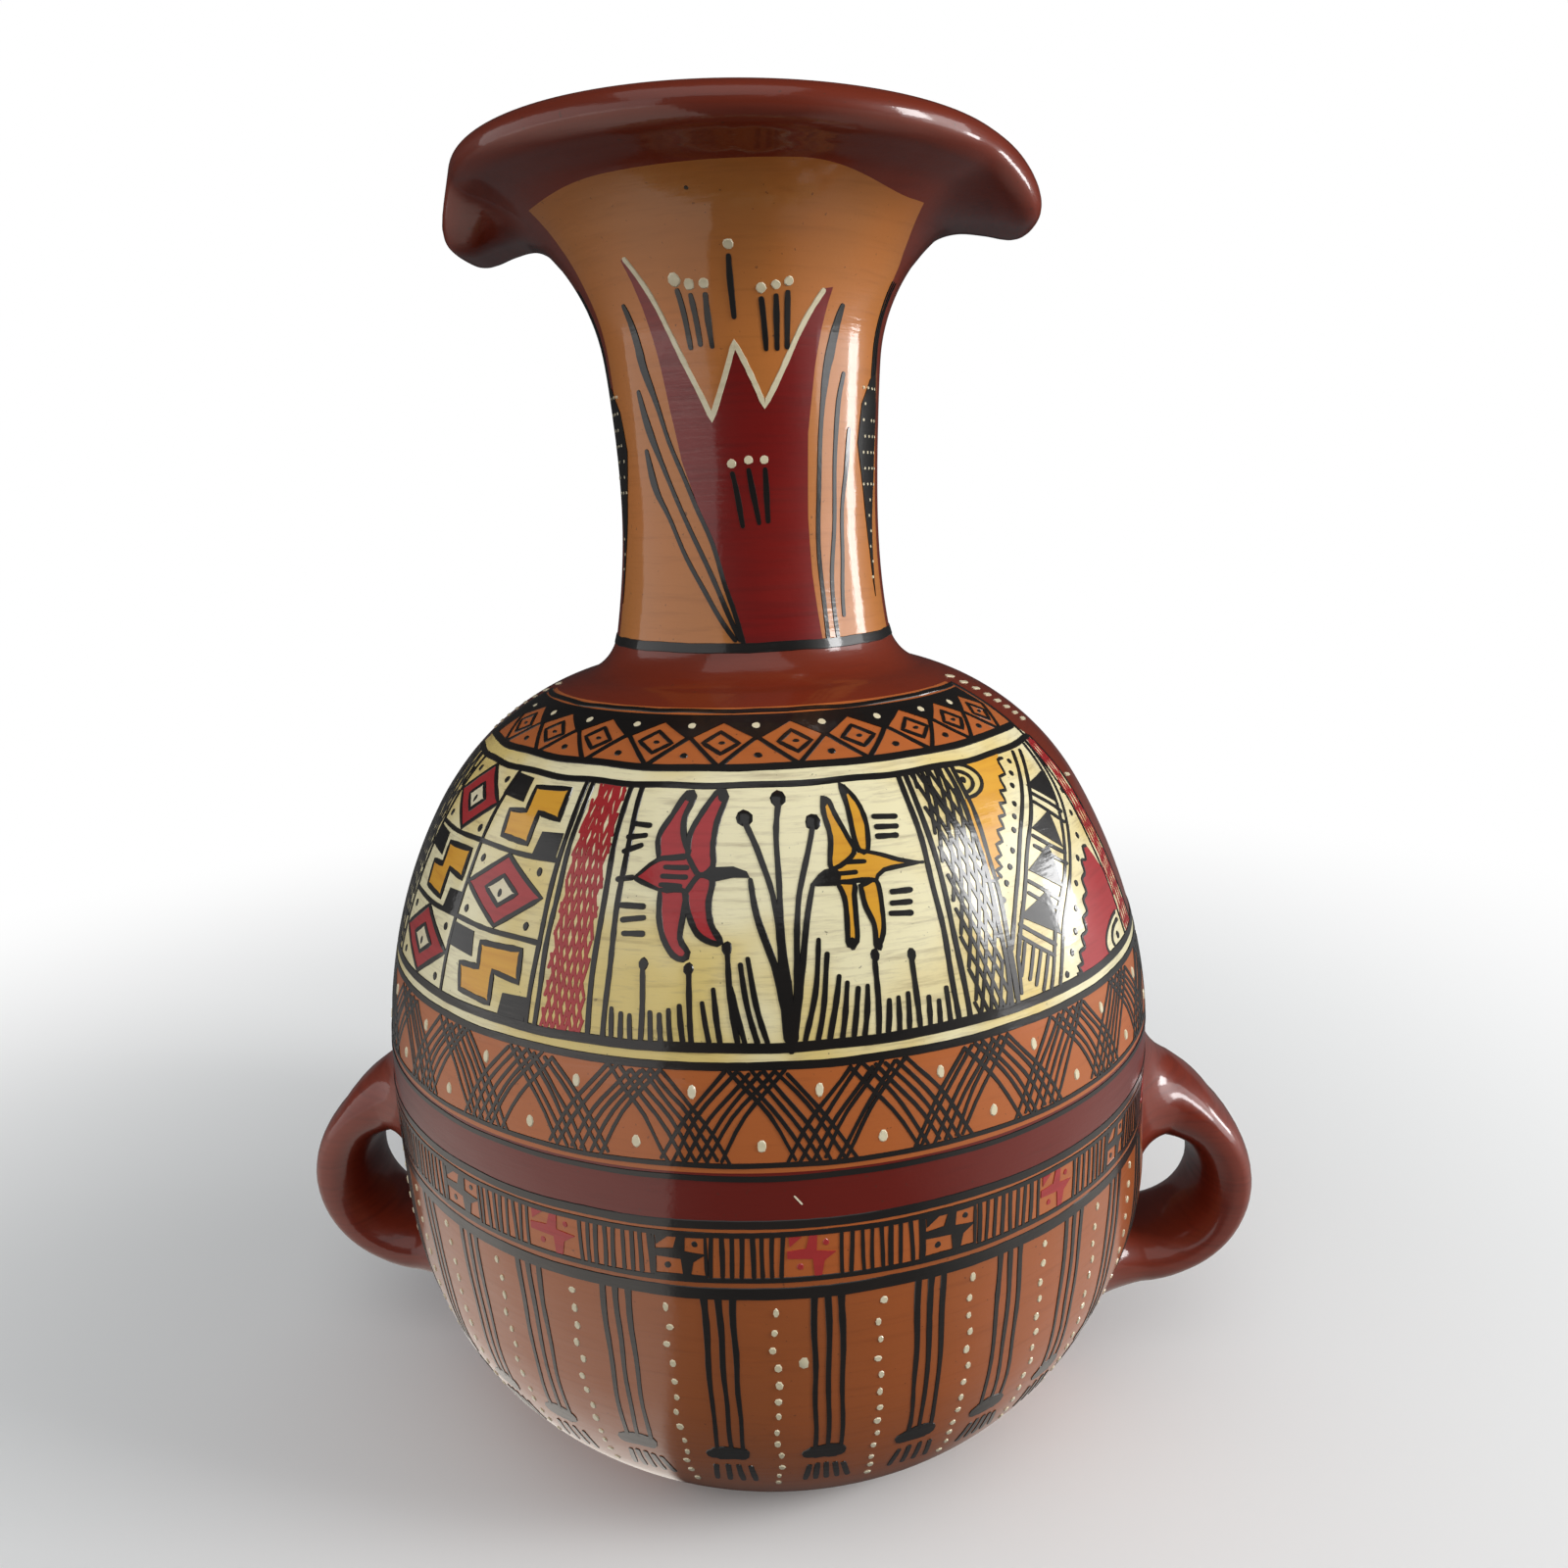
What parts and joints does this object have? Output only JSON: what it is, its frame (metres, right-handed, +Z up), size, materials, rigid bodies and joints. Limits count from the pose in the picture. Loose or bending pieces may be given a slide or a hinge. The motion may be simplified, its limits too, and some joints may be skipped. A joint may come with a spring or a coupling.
{
  "type": "inca aryballos jar",
  "caption": "Painted clay jar with a round belly, a narrow flared neck, two strap handles low on the body and lugs under the rim.",
  "frame": {"origin": "middle of the flat base, on the surface that the jar stands on", "axes": "+Z up the jar's axis; the handles and lugs are on +X and -X; the painted front faces -Y"},
  "size_m": [0.253, 0.193, 0.3],
  "materials": {
    "painted_clay": "burnished tan and orange slip with painted bands under a clear varnish",
    "red_slip": "dark red slip under a clear varnish"
  },
  "bodies": {
    "root": {"base_slab": "painted_clay", "lower_body": "painted_clay", "upper_body": "painted_clay", "neck": "painted_clay", "rim_coil": "red_slip", "handle_left": "red_slip", "handle_right": "red_slip", "lug_left": "red_slip", "lug_right": "red_slip"}
  },
  "joints": []
}
